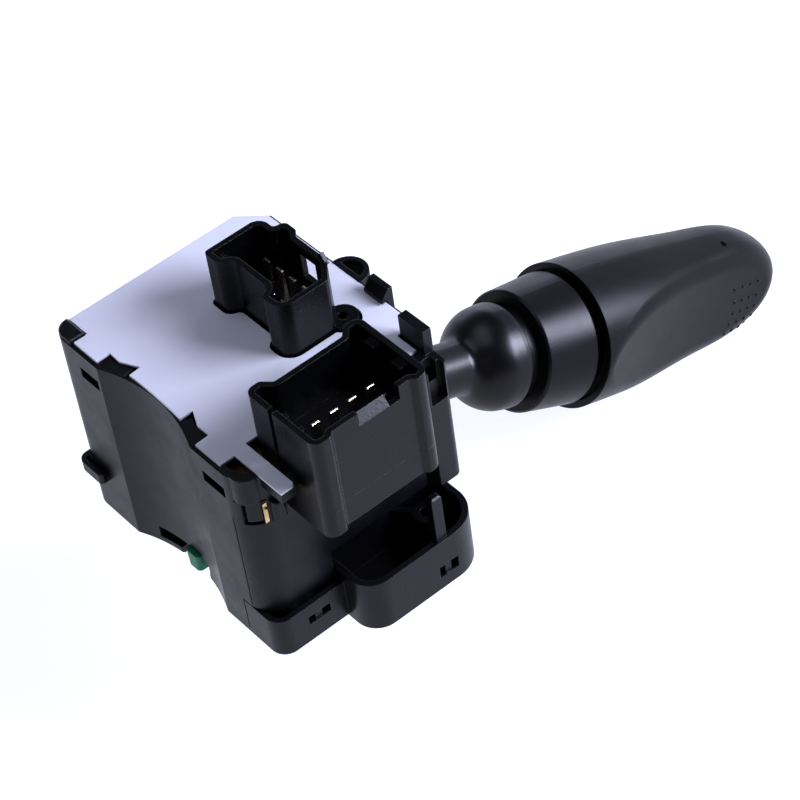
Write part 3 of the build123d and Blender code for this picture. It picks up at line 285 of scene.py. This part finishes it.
# where the stalk and its knob lie at rest
stalkRest = {"dropDegrees": 20.5, "knobLiftDegrees": 1.6, "pivotHeightMm": 25.6, "footMm": 91.0}
stalkDrop = math.radians(stalkRest["dropDegrees"])
knobLift = math.radians(stalkRest["knobLiftDegrees"])
pivot = np.array([0.0, 0.0, stalkRest["pivotHeightMm"] / 1000])
stalkDir = np.array([math.cos(stalkDrop), 0.0, -math.sin(stalkDrop)])
knobDir = np.array([math.cos(stalkDrop - knobLift), 0.0, -math.sin(stalkDrop - knobLift)])
knobUp = np.array([math.sin(stalkDrop - knobLift), 0.0, math.cos(stalkDrop - knobLift)])
knobFoot = pivot + stalkDir * stalkRest["footMm"] / 1000
standOff = 0.04                 # rays towards the knob start this far from its axis, in metres


def gridFaces(rows, columns, wrap):
    # quad indices of a grid of rows x columns points, closed round when wrap is True
    r = np.arange(rows - 1)[:, None]
    c = np.arange(columns if wrap else columns - 1)[None, :]
    n = (c + 1) % columns
    near, far = r * columns, (r + 1) * columns
    quads = np.stack([near + c, far + c, far + n, near + n], axis=-1)
    return quads.reshape(-1, 4)


def meshPiece(name, points, faces, material, body):
    # a finished smooth piece at the origin, riding its body
    mesh = bpy.data.meshes.new(name)
    mesh.from_pydata(points.reshape(-1, 3).tolist(), [], [list(f) for f in faces])
    mesh.update()
    mesh.polygons.foreach_set("use_smooth", np.ones(len(mesh.polygons), dtype=bool))
    mesh.materials.append(material)
    piece = bpy.data.objects.new(name, mesh)
    bpy.context.scene.collection.objects.link(piece)
    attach(piece, body)
    return piece


# the dots stand in rows across the knob, in mm: height above its axis, then distances from its foot
gripDots = {
    "rows": ((3.0, (54.6, 57.9, 60.9, 63.8)),
             (-1.4, (55.9, 58.8, 61.6, 64.6)),
             (-4.8, (56.3, 59.4, 62.2, 64.7)),
             (-7.9, (55.8, 58.8, 61.6, 64.6)),
             (-10.6, (54.6, 57.8, 60.8, 63.7))),
    "radiusMm": 0.7, "heightMm": 0.24, "sunkMm": 0.3, "rings": 6, "around": 16}


def landOn(node, starts, direction):
    # first hits of rays from the starts on a CAD node, as points and outward normals
    tree = BVHTree.FromObject(node, bpy.context.evaluated_depsgraph_get())
    hits = [tree.ray_cast(Vector(start), Vector(direction)) for start in starts]
    return np.array([hit[0] for hit in hits]), np.array([hit[1] for hit in hits])


def sideAxes(normals):
    # two unit vectors square to each normal and to each other
    first = np.cross(normals, knobUp)
    first /= np.linalg.norm(first, axis=1, keepdims=True)
    return first, np.cross(normals, first)


poleShare = 0.06                # the small cap at a dome's pole, as a share of its radius


def domes(centres, normals, look):
    # ring s, angle a: centre + r*s*(cos a, sin a) in the tangent plane + h*(1 - s*s) along the normal,
    # closed by a ring and a small cap sunk below the surface
    radius, height, sunk = (look[key] / 1000 for key in ("radiusMm", "heightMm", "sunkMm"))
    steps = np.linspace(poleShare, 1.0, look["rings"])
    reach = np.concatenate([radius * steps, [radius, radius * poleShare]])
    lift = np.concatenate([height * (1 - steps ** 2), [-sunk, -sunk]])
    angle = np.linspace(0, 2 * np.pi, look["around"], endpoint=False)
    first, second = sideAxes(normals)
    around = (np.cos(angle)[None, :, None] * first[:, None, :]
              + np.sin(angle)[None, :, None] * second[:, None, :])
    points = (centres[:, None, None, :] + reach[None, :, None, None] * around[:, None, :, :]
              + lift[None, :, None, None] * normals[:, None, None, :])
    rings, columns = len(reach), look["around"]
    one = gridFaces(rings, columns, True)
    caps = [np.arange(columns), np.arange(columns)[::-1] + (rings - 1) * columns]
    faces = []
    for shift in np.arange(len(centres)) * rings * columns:
        faces += (one + shift).tolist() + [(cap + shift).tolist() for cap in caps]
    return points, faces


def addGripDots(look):
    # every dot: the point where a ray from the front meets the knob carries one dome
    spots = np.array([(t, h) for h, row in look["rows"] for t in row]) / 1000
    front = np.array([0.0, -standOff, 0.0])
    starts = knobFoot + spots[:, :1] * knobDir + spots[:, 1:] * knobUp + front
    centres, normals = landOn(frame["nodes"]["knob_shell"], starts, (0.0, 1.0, 0.0))
    points, faces = domes(centres, normals, look)
    meshPiece("grip_dots", points, faces, knobPlastic, "light_knob")
    print("grip dots set:", len(centres))


addGripDots(gripDots)

# the painted shadow of the small blind hole near the tip: its place along and across the knob's axis and its
# sizes, all in mm
tipHoleShadow = {"along": 50.9, "across": -4.5, "radiusMm": 0.9, "heightMm": 0.06, "sunkMm": 0.25, "rings": 6,
           "around": 32}


def addTipHoleShadow(look):
    # one very low dome in near-black matt, a painted shadow standing in for the hole, so that the hole reads
    # dark from every side
    aside = np.array([0.0, look["across"] / 1000, 0.0])
    start = knobFoot + knobDir * look["along"] / 1000 + aside + knobUp * standOff
    centres, normals = landOn(frame["nodes"]["knob_shell"], [start], -knobUp)
    points, faces = domes(centres, normals, look)
    # the dark disc is painted shade on the knob, not a cut hole
    meshPiece("tip_hole_painted_shadow", points, faces, holeShadowMaterial, "light_knob")
    print("tip hole set")


addTipHoleShadow(tipHoleShadow)

cameraSpot = {"place": (-0.226714, -0.391186, 0.476330), "forward": (0.39486, 0.58856, -0.70547),
              "up": (0.51643, 0.49289, 0.70026), "lensMm": 125.76}


def placeCamera():
    # the camera's axes are right, up and backwards, as columns
    forward = Vector(cameraSpot["forward"]).normalized()
    up = Vector(cameraSpot["up"])
    up = (up - forward * up.dot(forward)).normalized()
    right = forward.cross(up)
    data = bpy.data.cameras.new("camera")
    data.sensor_width = 36.0
    data.lens = cameraSpot["lensMm"]
    data.clip_start, data.clip_end = 0.01, 20.0
    camera = bpy.data.objects.new("camera", data)
    bpy.context.scene.collection.objects.link(camera)
    turn = Matrix((right, up, -forward)).transposed()
    camera.matrix_world = Matrix.Translation(Vector(cameraSpot["place"])) @ turn.to_4x4()
    bpy.context.scene.camera = camera


# softboxes: where each stands and what it looks at, its width and height, all in metres
lights = {
    "key": {"place": (0.66, -0.61, 0.52), "aim": (0.05, 0.0, 0.02), "size": (0.62, 0.52), "watts": 25.0,
            "tint": "#e8eaff"},
    "side": {"place": (1.25, 0.05, 0.50), "aim": (0.05, 0.0, 0.0), "size": (1.10, 0.80), "watts": 3.5,
             "tint": "#e8eaff"},
    "above": {"place": (-0.25, 0.20, 1.05), "aim": (0.0, 0.0, 0.05), "size": (0.9, 0.6), "watts": 3.8,
              "tint": "#eceeff"},
    "left": {"place": (-0.95, 0.15, 0.40), "aim": (-0.02, 0.0, 0.03), "size": (0.8, 0.6), "watts": 1.8,
             "tint": "#e8eaff"},
    "back": {"place": (0.60, 1.00, 0.24), "aim": (0.08, 0.0, 0.0), "size": (1.3, 0.4), "watts": 4.0,
             "tint": "#e8eaff"},
}
# studio walls: brightness at the horizon and overhead
studio = {"tint": "#e2e5fc", "horizon": 0.85, "overhead": 0.16, "fadeFrom": 0.0, "fadeTo": 0.2}
# backlit table: its own glow on top of what the softboxes give it
table = {"colour": "#8c8c8c", "glowTint": "#f1f3ff", "glow": 0.93, "half": 8.0, "below": 0.001}


def placeLights():
    for name, light in lights.items():
        data = bpy.data.lights.new(name, "AREA")
        data.shape = "RECTANGLE"
        data.size, data.size_y = light["size"]
        data.energy = light["watts"]
        data.color = toLinear(light["tint"])[:3]
        lamp = bpy.data.objects.new(name, data)
        bpy.context.scene.collection.objects.link(lamp)
        lamp.location = light["place"]
        away = Vector(light["place"]) - Vector(light["aim"])
        lamp.rotation_mode = "QUATERNION"
        lamp.rotation_quaternion = away.to_track_quat("Z", "Y")


def paintStudio():
    # the walls fade from the horizon upwards
    world = bpy.data.worlds.new("studio")
    world.use_nodes = True
    tree = world.node_tree
    tree.nodes.clear()
    direction = addNode(tree, "ShaderNodeTexCoord").outputs["Generated"]
    height = addNode(tree, "ShaderNodeSeparateXYZ", None, {0: direction})
    fade = addNode(tree, "ShaderNodeMapRange", {"clamp": True}, {
        "Value": height.outputs["Z"], "From Min": studio["fadeFrom"], "From Max": studio["fadeTo"],
        "To Min": studio["horizon"], "To Max": studio["overhead"]})
    walls = addNode(tree, "ShaderNodeBackground", None, {
        "Color": toLinear(studio["tint"]), "Strength": fade.outputs[0]})
    addNode(tree, "ShaderNodeOutputWorld", None, {"Surface": walls.outputs[0]})
    bpy.context.scene.world = world


def layTable():
    # a plain square sheet just under the lowest point of the part
    lowest = cadBounds[0][2] - table["below"]
    edge = np.linspace(-table["half"], table["half"], 3)
    u, v = np.meshgrid(edge, edge, indexing="ij")
    points = np.stack([u, v, np.full_like(u, lowest)], axis=-1)
    mesh = bpy.data.meshes.new("table")
    mesh.from_pydata(points.reshape(-1, 3).tolist(), [], gridFaces(3, 3, False).tolist())
    material, tree = newMaterial("acrylicBacklit")
    shader = addNode(tree, "ShaderNodeBsdfPrincipled", None, {
        "Base Color": toLinear(table["colour"]), "Roughness": 0.9,
        "Emission Color": toLinear(table["glowTint"]),
        "Emission Strength": table["glow"]})
    closeMaterial(tree, shader)
    mesh.materials.append(material)
    sheet = bpy.data.objects.new("table", mesh)
    bpy.context.scene.collection.objects.link(sheet)


placeCamera()
placeLights()
paintStudio()
layTable()
bpy.context.scene.view_settings.view_transform = "Standard"
bpy.context.scene.view_settings.gamma = 0.77   # the contrast of a printed catalogue picture
print("camera, lights and table placed")
